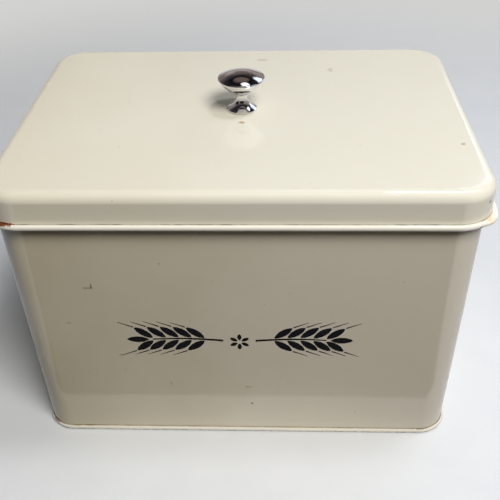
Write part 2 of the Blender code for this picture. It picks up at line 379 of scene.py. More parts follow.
def wall_section(_corner_share):
    """Rolled rim, wall, and the flange hooked up outside it."""
    rim_centre = (RIM_RADIUS - HALF_SHEET, BODY_HEIGHT - RIM_RADIUS - HALF_SHEET)
    flange_centre = (FLANGE_BEND - HALF_SHEET, SHEET + FIT + HALF_SHEET + FLANGE_BEND)
    section = arc(rim_centre, RIM_RADIUS, math.pi - RIM_TURN, RIM_TURN, ROLL_STEPS)
    section.append((-HALF_SHEET, WALL_TOP))
    section.extend(straight((-HALF_SHEET, WALL_TOP - LOCK_SLOPE), (-HALF_SHEET, WALL_FOOT + LOCK_SLOPE),
                            WALL_STEPS))
    section.append((-HALF_SHEET, WALL_FOOT))
    section.append((-HALF_SHEET, flange_centre[1] + FLANGE_BEND))
    section.extend(arc(flange_centre, FLANGE_BEND, math.pi, math.pi, 2 * FOLD_STEPS))
    section.append((flange_centre[0] + FLANGE_BEND, SEAM_HEIGHT - SHEET - FIT))
    return section


def wall_out_of_flat(across, reach, height, panel):
    """How far a wall panel stands outward of flat."""
    wave = noise.noise(Vector((across, height, panel * PANELS_APART)) / WAVE_LENGTH)
    share = ease(across / reach) * ease((height - WALL_MIDDLE) / WALL_REACH)
    return share * (WALL_BULGE + WAVE_HEIGHT * wave)


def front_out_of_flat(x, height):
    """How far the front stands outward of flat."""
    return wall_out_of_flat(x, CORNER_CENTRE.x, height, 0)


def push_walls(bm):
    """Stand the front, back and sides a little out of flat, as wrapped sheet does."""
    for vert in bm.verts:
        x, y, height = vert.co
        if not WALL_FOOT < height < WALL_TOP:
            continue
        if abs(x) < CORNER_CENTRE.x:
            panel = 0 if y < 0 else 1
            vert.co.y += math.copysign(wall_out_of_flat(x, CORNER_CENTRE.x, height, panel), y)
        elif abs(y) < CORNER_CENTRE.y:
            panel = 2 if x < 0 else 3
            vert.co.x += math.copysign(wall_out_of_flat(y, CORNER_CENTRE.y, height, panel), x)


def fold_lock_seam(bm):
    """Raise the strip up the middle of the back where the wall's ends hook into each other."""
    for side in (-1, 1):
        for x in (LOCK_HALF_WIDTH - LOCK_SLOPE, LOCK_HALF_WIDTH, LOCK_HALF_WIDTH + LOCK_SLOPE,
                  LOCK_HALF_WIDTH + 2 * LOCK_SLOPE):
            cut_across(bm, side * x * RIGHTWARD, RIGHTWARD)
    for vert in bm.verts:
        x, y, height = vert.co
        on_strip = y > 0 and abs(x) < LOCK_HALF_WIDTH + MERGE_DISTANCE
        if on_strip and WALL_FOOT + LOCK_SLOPE / 2 < height < WALL_TOP - LOCK_SLOPE / 2:
            vert.co.y += 2 * SHEET


def make_wall(coat):
    bm = swept_sheet(wall_section)
    cut_cells(bm)
    push_walls(bm)
    fold_lock_seam(bm)
    wall = pressed_piece("wall_sheet", bm)
    finish_piece(wall, "box", "body_wall", coat)


# Bottom panel


def bottom_section(_corner_share):
    """Edge of the bottom: down inside the wall, under its flange, and folded over the flange."""
    inner = -SHEET - FIT - HALF_SHEET
    outer = 2 * FLANGE_BEND + FIT + HALF_SHEET
    foot = HALF_SHEET + FOLD_BEND
    fold_top = SEAM_HEIGHT - HALF_SHEET
    floor = FLOOR_RISE - HALF_SHEET
    section = [(inner - FLOOR_BEND - BEND_MARGIN, floor)]
    section.extend(arc((inner - FLOOR_BEND, floor - FLOOR_BEND), FLOOR_BEND, QUARTER_TURN, -QUARTER_TURN,
                       FOLD_STEPS))
    section.extend(arc((inner + FOLD_BEND, foot), FOLD_BEND, math.pi, QUARTER_TURN, FOLD_STEPS))
    section.extend(arc((outer - FOLD_FOOT_BEND, HALF_SHEET + FOLD_FOOT_BEND), FOLD_FOOT_BEND,
                       -QUARTER_TURN, QUARTER_TURN, FOLD_STEPS))
    section.extend(arc((outer - FOLD_TOP_BEND, fold_top - FOLD_TOP_BEND), FOLD_TOP_BEND, 0, QUARTER_TURN,
                       FOLD_STEPS))
    section.append((FIT, fold_top))
    return section


def wave_panel(bm, height, still_radius, still_fade):
    """Stand a flat panel a little out of flat, but for a still spot in its middle."""
    for vert in bm.verts:
        if abs(vert.co.z - height) > MERGE_DISTANCE:
            continue
        from_middle = math.hypot(vert.co.x, vert.co.y)
        seat = 1 - ease(max(from_middle - still_radius, 0) / still_fade)
        wave = noise.noise(vert.co / WAVE_LENGTH)
        share = ease(vert.co.x / CORNER_CENTRE.x) * ease(vert.co.y / CORNER_CENTRE.y) * seat
        vert.co.z += share * WAVE_HEIGHT * wave


def make_bottom(coat):
    bm = swept_sheet(bottom_section)
    close_panel(bm)
    cut_cells(bm)
    wave_panel(bm, FLOOR_RISE - HALF_SHEET, 0, PANEL_CELL)
    bottom = pressed_piece("bottom_sheet", bm)
    finish_piece(bottom, "box", "bottom_panel", coat)


# Lid


def lid_section(corner_share):
    """Top edge, skirt, cove, and the hem rolled outward and under.

    The crease above the hem is tight along the sides. Towards the side of each corner it opens into a
    smooth lip.
    """
    edge_radius = LID_EDGE - HALF_SHEET
    edge_centre = (SKIRT_TOP - edge_radius, LID_TOP - LID_EDGE)
    opened = ease_between(corner_share, *FLARE_OPENS) - ease_between(corner_share, *FLARE_CLOSES)
    reach = mix(2 * HEM_RADIUS, FLARE_REACH, opened)
    radius = mix(HEM_RADIUS, FLARE_RADIUS, opened)
    crease_radius = mix(HEM_CREASE_RADIUS, FLARE_CREASE_RADIUS, opened)
    stretch = mix(HEM_STRETCH, 1, opened)
    meeting = math.acos(1 - reach / (radius + crease_radius))
    rise = (radius + crease_radius) * math.sin(meeting)
    roll_centre = (SKIRT_FOOT + reach - radius, LID_FOOT + HALF_SHEET + radius * stretch)
    crease_centre = (SKIRT_FOOT + crease_radius, roll_centre[1] + rise * stretch)
    section = [(edge_centre[0] - BEND_MARGIN, LID_TOP - HALF_SHEET)]
    section.extend(arc(edge_centre, edge_radius, QUARTER_TURN, -QUARTER_TURN, EDGE_STEPS))
    section.append((SKIRT_TOP, edge_centre[1] - BEND_MARGIN))
    cove_top = crease_centre[1] + COVE_HEIGHT
    for step in range(COVE_STEPS):
        share = step / COVE_STEPS
        offset = mix(SKIRT_FOOT - COVE_DEPTH, SKIRT_FOOT, share ** 2)
        section.append((offset, mix(cove_top, crease_centre[1], share)))
    section.extend(arc(crease_centre, crease_radius, math.pi, meeting, CREASE_STEPS, stretch))
    section.extend(arc(roll_centre, radius, meeting, HEM_END - meeting, ROLL_STEPS, stretch)[1:])
    return section


def cylinder_cutter(name, radius, low, high):
    """An upright cylinder between two heights, to cut a hole with."""
    bm = bmesh.new()
    bmesh.ops.create_cone(
        bm, cap_ends=True, segments=TURNED_STEPS, radius1=radius, radius2=radius, depth=high - low)
    bmesh.ops.translate(bm, verts=bm.verts, vec=UP * (high + low) / 2)
    return new_piece(name, bm)


def cut_away(piece, cutter):
    """Cut a tool's shape out of a piece and put the tool away."""
    cutting = piece.modifiers.new("cut", "BOOLEAN")
    cutting.operation = "DIFFERENCE"
    cutting.solver = "EXACT"
    cutting.object = cutter
    apply_modifiers(piece)
    bpy.data.objects.remove(cutter, do_unlink=True)


def make_lid(coat):
    bm = swept_sheet(lid_section)
    close_panel(bm)
    cut_cells(bm)
    wave_panel(bm, LID_TOP - HALF_SHEET, KNOB_SEAT, KNOB_SEAT_FADE)
    lid = pressed_piece("lid_sheet", bm)
    cut_away(lid, cylinder_cutter("lid_drill", HOLE_RADIUS, LID_TOP - 2 * SHEET, LID_TOP + SHEET))
    finish_piece(lid, "lid", "lid_shell", coat)


# Knob, screw and washer


def turned_piece(name, profile, base, closed=False):
    """Piece turned about Z from a profile of radii and heights above a base."""
    bm = bmesh.new()
    verts = [bm.verts.new((radius, 0, base + height)) for radius, height in profile]
    edges = [bm.edges.new(pair) for pair in zip(verts, verts[1:])]
    if closed:
        edges.append(bm.edges.new((verts[-1], verts[0])))
    bmesh.ops.spin(
        bm, geom=verts + edges, cent=(0, 0, 0), axis=UP, dvec=(0, 0, 0), angle=FULL_TURN,
        steps=TURNED_STEPS, use_merge=True, use_duplicate=False)
    bmesh.ops.remove_doubles(bm, verts=bm.verts, dist=MERGE_DISTANCE)
    bmesh.ops.recalc_face_normals(bm, faces=bm.faces)
    return new_piece(name, bm)


def bend_points(start, control, end, steps):
    """Points along a curve with one control point, after its start."""
    points = []
    for step in range(1, steps + 1):
        share = step / steps
        points.append(tuple(
            mix(mix(a, b, share), mix(b, c, share), share) for a, b, c in zip(start, control, end)
        ))
    return points


def knob_profile():
    """Crown, brim, hollowed underside, collar, neck and flared foot, with the screw's bore below."""
    crown_radius = KNOB_RADIUS - KNOB_BRIM_EDGE
    crown_foot = KNOB_BRIM_HEIGHT + KNOB_BRIM_EDGE
    profile = []
    for step in range(PROFILE_STEPS):
        share = step / PROFILE_STEPS
        profile.append((crown_radius * share, mix(KNOB_HEIGHT, crown_foot, share ** 2)))
    profile.extend(arc((crown_radius, KNOB_BRIM_HEIGHT), KNOB_BRIM_EDGE, QUARTER_TURN, -QUARTER_TURN,
                       FOLD_STEPS))
    collar_middle = KNOB_NECK_HEIGHT + 2 * KNOB_COLLAR_EDGE
    collar_flat = KNOB_COLLAR_RADIUS - KNOB_COLLAR_EDGE
    collar_top = (collar_flat, collar_middle + KNOB_COLLAR_EDGE)
    brim = (KNOB_RADIUS, KNOB_BRIM_HEIGHT)
    control = tuple(mix(a, b, share) for a, b, share in zip(collar_top, brim, UNDERSIDE_BEND_SHARES))
    profile.extend(bend_points(brim, control, collar_top, PROFILE_STEPS))
    profile.extend(arc((collar_flat, collar_middle), KNOB_COLLAR_EDGE, QUARTER_TURN, -math.pi,
                       2 * FOLD_STEPS)[1:])
    for step in range(PROFILE_STEPS + 1):
        share = step / PROFILE_STEPS
        radius = mix(KNOB_NECK_RADIUS, KNOB_FOOT_RADIUS, share ** FOOT_CURVE_POWER)
        profile.append((radius, mix(KNOB_NECK_HEIGHT, KNOB_FOOT_EDGE, share)))
    profile.extend(arc((KNOB_FOOT_RADIUS - KNOB_FOOT_ROUND, KNOB_FOOT_ROUND), KNOB_FOOT_ROUND, 0,
                       -QUARTER_TURN, FOLD_STEPS))
    profile.append((HOLE_RADIUS, 0))
    profile.append((HOLE_RADIUS, KNOB_BORE_DEPTH))
    profile.append((0, KNOB_BORE_DEPTH))
    return profile


def make_knob(plate):
    knob = turned_piece("chrome_knob", knob_profile(), KNOB_LOW.z)
    finish_piece(knob, "lid", "knob", plate)


def make_washer(plate):
    """Washer with its outer edge rounded by the punch."""
    radius = WASHER_HIGH.x - WASHER_ROUND
    thickness = WASHER_HIGH.z - WASHER_LOW.z
    profile = arc((radius, thickness - WASHER_ROUND), WASHER_ROUND, QUARTER_TURN, -QUARTER_TURN,
                  FOLD_STEPS)
    profile.extend(arc((radius, WASHER_ROUND), WASHER_ROUND, 0, -QUARTER_TURN, FOLD_STEPS))
    profile.append((HOLE_RADIUS, 0))
    profile.append((HOLE_RADIUS, thickness))
    washer = turned_piece("lid_washer", profile, WASHER_LOW.z, closed=True)
    finish_piece(washer, "lid", "screw_washer", plate)


def screw_profile():
    """Shank with a chamfered end above a domed head, with heights above the head's seat."""
    reach = SCREW_HIGH.z - SCREW_LOW.z - HEAD_HEIGHT
    profile = [
        (0, reach),
        (SHANK_RADIUS - SHANK_CHAMFER, reach),
        (SHANK_RADIUS, reach - SHANK_CHAMFER),
        (SHANK_RADIUS, 0),
        (HEAD_RADIUS, 0),
    ]
    for step in range(1, PROFILE_STEPS):
        angle = QUARTER_TURN * step / PROFILE_STEPS
        radius = HEAD_RADIUS * math.cos(angle) ** HEAD_CURVE_POWER
        profile.append((radius, -HEAD_HEIGHT * math.sin(angle)))
    profile.append((0, -HEAD_HEIGHT))
    return profile


def recess_cutter(turn):
    """One arm of the cross in the screw's head."""
    bm = bmesh.new()
    bmesh.ops.create_cube(bm, size=1)
    bmesh.ops.scale(bm, verts=bm.verts, vec=(RECESS_LENGTH, RECESS_WIDTH, 2 * RECESS_DEPTH))
    bmesh.ops.rotate(bm, verts=bm.verts, matrix=Matrix.Rotation(turn, 3, "Z"))
    bmesh.ops.translate(bm, verts=bm.verts, vec=UP * SCREW_LOW.z)
    return new_piece("recess_cutter", bm)


def make_screw(plate):
    screw = turned_piece("lid_screw", screw_profile(), SCREW_LOW.z + HEAD_HEIGHT)
    for turn in (0, QUARTER_TURN):
        cut_away(screw, recess_cutter(turn))
    finish_piece(screw, "lid", "knob_screw", plate)


# Ornament printed on the front


def ear_point(along):
    """Place on the ear's middle line, which rises and comes level again, at a distance along it."""
    return Vector((along, EAR_RISE * math.sin(math.pi * along / EAR_END), 0))


def lay_flat(bm, verts, place, turn):
    """Turn and move flat ink shapes to their place in the ornament."""
    bmesh.ops.rotate(bm, verts=verts, matrix=Matrix.Rotation(turn, 3, "Z"))
    bmesh.ops.translate(bm, verts=verts, vec=place)


def add_grain(bm, place, turn, length=GRAIN_LENGTH, width=GRAIN_WIDTH):
    """One grain or petal, pointed at both ends, that starts at a place."""
    verts = bmesh.ops.create_circle(bm, cap_ends=True, segments=GRAIN_STEPS, radius=1)["verts"]
    for vert in verts:
        swell = math.copysign(abs(vert.co.y) ** GRAIN_POINT_POWER, vert.co.y)
        vert.co = Vector(((vert.co.x + 1) * length / 2, swell * width / 2, 0))
    lay_flat(bm, verts, place, turn)


def add_strip(bm, point_at, start_width, end_width):
    """A tapering strip of ink through the points that point_at gives for shares of its length."""
    verts = bmesh.ops.create_grid(bm, x_segments=STRIP_STEPS, y_segments=1, size=0.5)["verts"]
    for vert in verts:
        share = vert.co.x + 0.5
        across = vert.co.y * mix(start_width, end_width, share)
        vert.co = point_at(share) + Vector((0, across, 0))
    return verts


def stem_point(share):
    """Place on the stem, which follows the ear's middle line up to the last pair of grains."""
    return ear_point(mix(STEM_START, LAST_PAIR, share))


def awn_point(share):
    """Place on an awn, before it is laid at the end of its grain."""
    return Vector((share * AWN_LENGTH, 0, 0))


def add_ear(bm):
    """The right-hand ear of wheat: grains in pairs up a stem, each with its awn, and one at the tip."""
    add_strip(bm, stem_point, STEM_WIDTH, STEM_WIDTH * STEM_TIP_SHARE)
    for pair in range(GRAIN_PAIRS):
        along = EAR_START + pair * GRAIN_SPACING
        for side in (-1, 1):
            lean = side * GRAIN_LEAN
            place = ear_point(along) + Vector((0, side * GRAIN_GAP, 0))
            add_grain(bm, place, lean)
            outward = Vector((math.cos(lean), math.sin(lean), 0))
            awn = add_strip(bm, awn_point, AWN_WIDTH, AWN_WIDTH * AWN_TIP_SHARE)
            lay_flat(bm, awn, place + outward * (GRAIN_LENGTH + AWN_GAP), lean * AWN_LEAN_SHARE)
    add_grain(bm, ear_point(LAST_PAIR + 2 * GRAIN_GAP), 0)


def add_rosette(bm):
    """Petals round the middle, between the two ears."""
    for petal in range(PETALS):
        turn = FULL_TURN * (petal + 0.5) / PETALS
        place = Vector((PETAL_START * math.cos(turn), PETAL_START * math.sin(turn), 0))
        add_grain(bm, place, turn, PETAL_LENGTH, PETAL_WIDTH)


def make_ornament(ink):
    """Two ears of wheat lying end to end, printed on the front and following its surface."""
    bm = bmesh.new()
    add_ear(bm)
    bmesh.ops.mirror(
        bm, geom=bm.verts[:] + bm.edges[:] + bm.faces[:], matrix=Matrix.Identity(4), merge_dist=0,
        axis="X")
    add_rosette(bm)
    bmesh.ops.recalc_face_normals(bm, faces=bm.faces)
    raised = bmesh.ops.extrude_face_region(bm, geom=bm.faces[:], use_keep_orig=True)["geom"]
    top = {item for item in raised if isinstance(item, bmesh.types.BMVert)}
    for vert in bm.verts:
        x, height = (vert.co + ORNAMENT_MIDDLE).xy
        depth = INK_PROUD if vert in top else -INK_SUNK
        vert.co = Vector((x, -HALF_DEPTH - front_out_of_flat(x, height) - depth, height))
    bmesh.ops.recalc_face_normals(bm, faces=bm.faces)
    ornament = new_piece("front_ornament", bm)
    finish_piece(ornament, "box", None, ink)


# Materials


def linear(colour):
    """An sRGB hex colour as the linear colour that a shader reads."""
    result = []
    for start in (0, 2, 4):
        share = int(colour[start:start + 2], 16) / 255
        result.append(share / 12.92 if share <= 0.04045 else ((share + 0.055) / 1.055) ** 2.4)
    return [*result, 1]


def add(tree, kind, inputs, **settings):
    """Add a node with its settings, fill its inputs, and give back its outputs.

    Inputs come in order or by socket. Each is another node's output, a hex colour or a plain value.
    """
    node = tree.nodes.new("ShaderNode" + kind)
    for setting, choice in settings.items():
        setattr(node, setting, choice)
    pairs = inputs.items() if isinstance(inputs, dict) else enumerate(inputs)
    for socket, value in pairs:
        if isinstance(value, bpy.types.NodeSocket):
            tree.links.new(value, node.inputs[socket])
        else:
            node.inputs[socket].default_value = linear(value) if isinstance(value, str) else value
    return node.outputs


def start_material(name, **surface):
    """A material with its shader's constants set, its tree, and the places on its object."""
    material = bpy.data.materials.new(name)
    material.use_nodes = True
    tree = material.node_tree
    for socket, value in surface.items():
        tree.nodes["Principled BSDF"].inputs[socket].default_value = value
    return material, tree, add(tree, "TexCoord", {})["Object"]


class Pattern(NamedTuple):
    """Patches of noise about a size across, spread from between two noise values to two others."""

    size: float
    detail: float
    roughness: float
    between: tuple
    values: tuple = (0, 1)


class Relief(NamedTuple):
    """Fine bumps about a size across, with their detail and depth."""

    size: float
    detail: float
    depth: float


def patches(tree, place, pattern):
    """A value that varies over a piece as a pattern says."""
    cloud = add(tree, "TexNoise", {
        "Vector": place,
        "Scale": 1 / pattern.size,
        "Detail": pattern.detail,
        "Roughness": pattern.roughness,
    })["Fac"]
    return add(tree, "MapRange", [cloud, *pattern.between, *pattern.values])["Result"]


# Sockets of a Mix node that mixes colours
MIX_SHARE, MIX_FIRST, MIX_SECOND, MIX_RESULT = 0, 6, 7, 2


def layered(tree, colour, layers):
    """A colour with others laid over it in turn, each by its own share."""
    for share, over in layers:
        inputs = {MIX_SHARE: share, MIX_FIRST: colour, MIX_SECOND: over}
        colour = add(tree, "Mix", inputs, data_type="RGBA")[MIX_RESULT]
    return colour


def set_surface(tree, place, colour, roughness, relief=None):
    """Give a shader its colour, roughness and relief, and give back what comes out of it."""
    sources = {"Base Color": colour, "Roughness": roughness}
    if relief:
        bumps = add(tree, "TexNoise", {
            "Vector": place,
            "Scale": 1 / relief.size,
            "Detail": relief.detail,
        })["Fac"]
        sources["Normal"] = add(tree, "Bump", {"Height": bumps, "Distance": relief.depth})["Normal"]
    shader = tree.nodes["Principled BSDF"]
    for socket, source in sources.items():
        tree.links.new(source, shader.inputs[socket])
    return shader.outputs["BSDF"]


class Mark(NamedTuple):
    """A mark's middle and half sizes in millimetres, colour, strength, and how far its edge fades."""

    middle: tuple
    half_sizes: tuple
    colour: str
    strength: float
    fade: float = 0.2


def mark_layers(tree, place, ragged, marks):
    """A layer of colour for each mark, with the ragged value moving its edge in and out."""
    layers = []
    for mark in marks.values():
        stretch = [1 / (size * MILLIMETRE) for size in mark.half_sizes]
        shift = [-at * MILLIMETRE * per for at, per in zip(mark.middle, stretch)]
        spread = add(tree, "VectorMath", [place, stretch, shift], operation="MULTIPLY_ADD")["Vector"]
        distance = add(tree, "VectorMath", [spread], operation="LENGTH")["Value"]
        edge = add(tree, "Math", [distance, ragged], operation="ADD")[0]
        share = add(tree, "MapRange", [edge, 1 + mark.fade, 1 - mark.fade, 0, mark.strength])["Result"]
        layers.append((share, mark.colour))
    return layers


# Cream coat


class CoatColours(NamedTuple):
    """The coat's colour on the left and on the right, in its clouds, and on its rolled edge.

    The paler rolled colour is a painted highlight, and the box's darker left colour painted shade.
    """

    left: str
    right: str
    clouds: str
    rolled: str


class EdgeHighlightAndCrease(NamedTuple):
    """A rolled edge's top, up to which its coat is painted paler as a painted highlight, and the
    darkening in the crease there: grime, and over the lid's hem also painted shade.

    The darkening's two heights are from that top, and its reach is outward from the wall.
    """

    top: float
    crease_low: float
    crease_high: float
    crease_reach: float
    crease_colour: str
    crease_strength: float


# Each coat is darker and yellower on its left. On the box that is painted shade, where light falls off
# leftward.
BOX_COLOURS = CoatColours("D5CAAC", "E4DAC4", "DFD3BC", "F6EFDD")
LID_COLOURS = CoatColours("EBE3CA", "EFE9D5", "EBE2CC", "F9F3E2")

# From the left's colour to the right's: how fast it turns, what drifts it, and where it starts and ends
TINT_PER_METRE = 5
TINT_DRIFT = Pattern(70 * MILLIMETRE, 3, 0.5, (0, 1))
TINT_TURNS = (-0.25, 0.6)

# Clouds in the colour, dull smears, the ragged edges of marks, and the orange peel
COAT_CLOUDS = Pattern(14 * MILLIMETRE, 4, 0.6, (0.4, 0.75), (0, 0.25))
COAT_SMEARS = Pattern(40 * MILLIMETRE, 5, 0.6, (0.42, 0.68), (0.05, 0.12))
RAGGED_EDGE = Pattern(2.2 * MILLIMETRE, 4, 0.7, (0.2, 0.8), (-0.8, 0.8))
ORANGE_PEEL = Relief(3.2 * MILLIMETRE, 1, 0.016 * MILLIMETRE)

# Specks: about one cell in seven holds one, and its radius is a share of their spacing
SPECK_SPACING = 6 * MILLIMETRE
SPECK_CHANCE_FROM = 0.86
SPECK_RADIUS = 0.11
SPECK_COLOUR = "8F7F63"
SPECK_STRENGTH = 0.4

# Painted highlight on the rolled edges of the base seam and the lid's hem, and darkening in the crease
# over each: grime, and over the hem also painted shade
CREASE_REACH = 0.7 * MILLIMETRE
HEM_TOP = LID_FOOT + 2 * HEM_RADIUS * HEM_STRETCH + SHEET
SEAM_HIGHLIGHT_AND_CREASE = EdgeHighlightAndCrease(SEAM_HEIGHT, -0.8 * MILLIMETRE, 0.3 * MILLIMETRE, CREASE_REACH, "A58A5F", 0.6)
# The hem's crease colour is grime and painted shade in the crease
HEM_HIGHLIGHT_AND_CREASE = EdgeHighlightAndCrease(
    HEM_TOP, -0.9 * MILLIMETRE, 0.1 * MILLIMETRE, SKIRT_FOOT + CREASE_REACH, "5F5A46", 0.75)
CREASE_GRIME_AND_SHADE = Pattern(9 * MILLIMETRE, 3, 0.5, (0.42, 0.62), (0.55, 1))
PALE_BLUR = 0.2 * MILLIMETRE
CREASE_BLUR_BELOW = 0.2 * MILLIMETRE
CREASE_BLUR_ABOVE = 0.3 * MILLIMETRE
CREASE_BLUR_OUTWARD = 0.15 * MILLIMETRE

BOX_MARKS = {
    "scuff": Mark((-106.4, -116, 154.8), (3.4, 3, 0.55), "5E5348", 0.75),
    "scuff_tick": Mark((-104.0, -116, 156.2), (0.55, 3, 2.4), "5E5348", 0.7),
    "left_tick": Mark((-126, -116, 121), (1.5, 3, 0.5), "75695A", 0.5),
    "low_scratch": Mark((-91, -116, 88), (2.2, 3, 1.0), "7A6E5E", 0.4),
    "low_streak": Mark((4.4, -116, 53.1), (2.6, 3, 0.6), "7A6E5C", 0.5),
    "low_tick": Mark((-56, -116, 56), (0.5, 3, 2.4), "8A7E6C", 0.4),
    "high_speck": Mark((-53.8, -116, 177), (0.7, 3, 0.7), "6A5E50", 0.45),
    "low_speck": Mark((6.9, -116, 33.7), (1.1, 3, 1.1), "5E5240", 0.65),
    # Painted contact shadow: darkens the bottom of the box where it stands on the floor
    "foot_contact_shadow": Mark((0, 0, 0), (400, 400, 1.3), "3E372E", 0.85),
    "left_seam_rust": Mark((-158.6, -112, 4.2), (4.0, 6, 0.8), "7A5230", 0.7),
    "seam_rust": Mark((-139.6, -117, 4.2), (3.6, 4, 0.5), "8A6238", 0.4),
    "seam_rust_beside": Mark((-129.4, -117, 4.2), (4.2, 4, 0.5), "8A6238", 0.35),
    "right_seam_rust": Mark((145.1, -117, 4.2), (5.6, 4, 0.5), "6E5238", 0.5),
}
LID_MARKS = {
    "left_hem_rust": Mark((-152.5, -118.5, 212.2), (8.5, 3.2, 0.85), "7C441E", 1),
    "corner_dot": Mark((161.6, -110.7, 224.4), (1.1, 1.4, 0.9), "8A4A26", 0.85),
    "hem_chip": Mark((157, -118.9, 209.6), (1.7, 1.7, 0.9), "6E4A30", 0.8),
    "tan_spot": Mark((0.4, -22.6, 235), (1.9, 1.5, 2), "B98F55", 0.75),
    "back_mark": Mark((13.4, 92.6, 235), (4.5, 2.4, 2), "B9AF95", 0.4),
    "back_right_mark": Mark((70.5, 70.4, 235), (2.2, 3.4, 2), "B9AF95", 0.45),
    "right_mark": Mark((154.4, -55.8, 235), (1.6, 1.6, 2), "A39578", 0.6),
    # A warm peach tint inside the lip's gutter at the right corner
    "right_gutter_tint": Mark((163, -109.5, 210), (4.2, 6.5, 3), "E6C08C", 0.7, fade=0.55),
}


def off_the_wall(tree, place):
    """How far out from the wall's outside a place is, corners and all."""
    level = add(tree, "VectorMath", [place, (1, 1, 0)], operation="MULTIPLY")["Vector"]
    spread = add(tree, "VectorMath", [level], operation="ABSOLUTE")["Vector"]
    past_centre = add(tree, "VectorMath", [spread, CORNER_CENTRE], operation="SUBTRACT")["Vector"]
    outward = add(tree, "VectorMath", [past_centre, (0, 0, 0)], operation="MAXIMUM")["Vector"]
    reach = add(tree, "VectorMath", [outward], operation="LENGTH")["Value"]
    return add(tree, "Math", [reach, CORNER], operation="SUBTRACT")[0]


def coat_specks(tree, place):
    """Small specks, each in a cell of its own."""
    cells = add(tree, "TexVoronoi", {"Vector": place, "Scale": 1 / SPECK_SPACING})
    chance = add(tree, "SeparateColor", [cells["Color"]])["Red"]
    radius = add(tree, "MapRange", [chance, SPECK_CHANCE_FROM, 1, 0, SPECK_RADIUS])["Result"]
    speck = add(tree, "Math", [cells["Distance"], radius], operation="LESS_THAN")[0]
    return add(tree, "Math", [speck, SPECK_STRENGTH], operation="MULTIPLY")[0]


def crease_grime_and_shade(tree, place, height, edge_highlight_and_crease):
    """Patches of grime along the crease over a rolled edge, over the lid's hem also painted shade."""
    low = edge_highlight_and_crease.top + edge_highlight_and_crease.crease_low
    high = edge_highlight_and_crease.top + edge_highlight_and_crease.crease_high
    above = add(tree, "MapRange", [height, low - CREASE_BLUR_BELOW, low])["Result"]
    below = add(tree, "MapRange", [height, high + CREASE_BLUR_ABOVE, high])["Result"]
    near = add(tree, "MapRange", [
        off_the_wall(tree, place),
        edge_highlight_and_crease.crease_reach + CREASE_BLUR_OUTWARD,
        edge_highlight_and_crease.crease_reach - CREASE_BLUR_OUTWARD,
        0,
        edge_highlight_and_crease.crease_strength,
    ])["Result"]
    # Over the lid's hem this darkening is also painted shade
    grime = patches(tree, place, CREASE_GRIME_AND_SHADE)
    for share in (above, below, near):
        grime = add(tree, "Math", [grime, share], operation="MULTIPLY")[0]
    return grime


def cream_coat(name, colours, edge_highlight_and_crease, marks):
    """Stoved gloss enamel on pressed steel.

    The wet coat flows before it sets, which leaves a smooth gloss with a faint orange peel that frays
    every reflection. Years of hands and cloths leave dull smears, a few specks, and rust where the
    coat is thin. Towards the left it is painted darker and yellower, which on the box is painted shade
    where the light falls off. The rolled edge is painted paler, a painted highlight, with grime in the
    crease above it that over the lid's hem is also painted shade.
    """
    material, tree, place = start_material(name, IOR=1.6)
    axes = add(tree, "SeparateXYZ", [place])
    drift = patches(tree, place, TINT_DRIFT)
    # Darker, yellower colour towards the left: on the box, painted shade where the light falls off
    sideways = add(tree, "Math", [axes["X"], TINT_PER_METRE, drift], operation="MULTIPLY_ADD")[0]
    to_the_right = add(tree, "MapRange", [sideways, *TINT_TURNS])["Result"]
    # Painted highlight: the rolled edge is painted paler
    rolled = add(tree, "MapRange", [axes["Z"], edge_highlight_and_crease.top + PALE_BLUR, edge_highlight_and_crease.top - PALE_BLUR])["Result"]
    ragged = patches(tree, place, RAGGED_EDGE)
    colour = layered(tree, colours.left, [
        (to_the_right, colours.right),
        (patches(tree, place, COAT_CLOUDS), colours.clouds),
        (coat_specks(tree, place), SPECK_COLOUR),
        (rolled, colours.rolled),
        (crease_grime_and_shade(tree, place, axes["Z"], edge_highlight_and_crease), edge_highlight_and_crease.crease_colour),
        *mark_layers(tree, place, ragged, marks),
    ])
    set_surface(tree, place, colour, patches(tree, place, COAT_SMEARS), ORANGE_PEEL)
    return material


# Plates and ink. Real buffing lines, zinc crystals and the mesh of a printing screen are about 0.1 mm or
# finer, too fine to show, so each is drawn coarser here.


CHROME_CLEAR = "E6E5E7"
CHROME_FILMED = "DBD8D7"
CHROME_FILM = Pattern(6 * MILLIMETRE, 4, 0.6, (0.4, 0.7))
CHROME_HAZE = Pattern(5 * MILLIMETRE, 5, 0.65, (0.45, 0.7), (0.035, 0.09))
BUFFING = Relief(2.4 * MILLIMETRE, 2, 0.004 * MILLIMETRE)

ZINC_BRIGHT = "CDCCC8"
ZINC_DULL = "B7B29F"
ZINC_PATCHES = Pattern(2.5 * MILLIMETRE, 4, 0.6, (0.35, 0.7))
ZINC_SATIN = Pattern(1.2 * MILLIMETRE, 3, 0.5, (0.3, 0.7), (0.27, 0.45))
ZINC_CRYSTALS = Relief(0.35 * MILLIMETRE, 2, 0.006 * MILLIMETRE)

INK_DENSE = "0D0F16"
INK_THIN = "17191F"
INK_NICKED = "D8D0B8"
INK_PATCHES = Pattern(5 * MILLIMETRE, 3, 0.5, (0.3, 0.7))
INK_NICKS = Pattern(4.5 * MILLIMETRE, 5, 0.7, (0.7, 0.73))
INK_SHEEN = Pattern(12 * MILLIMETRE, 3, 0.5, (0.35, 0.7), (0.2, 0.32))
SCREEN_MESH = Relief(0.8 * MILLIMETRE, 1, 0.008 * MILLIMETRE)


def chrome_plate():
    """Bright chrome plate over turned and buffed brass.

    The buffing leaves it a clear mirror, so it is nearly all reflection, with a thin haze of handling.
    """
    material, tree, place = start_material("chrome_plate", Metallic=1)
    colour = layered(tree, CHROME_CLEAR, [(patches(tree, place, CHROME_FILM), CHROME_FILMED)])
    set_surface(tree, place, colour, patches(tree, place, CHROME_HAZE), BUFFING)
    return material


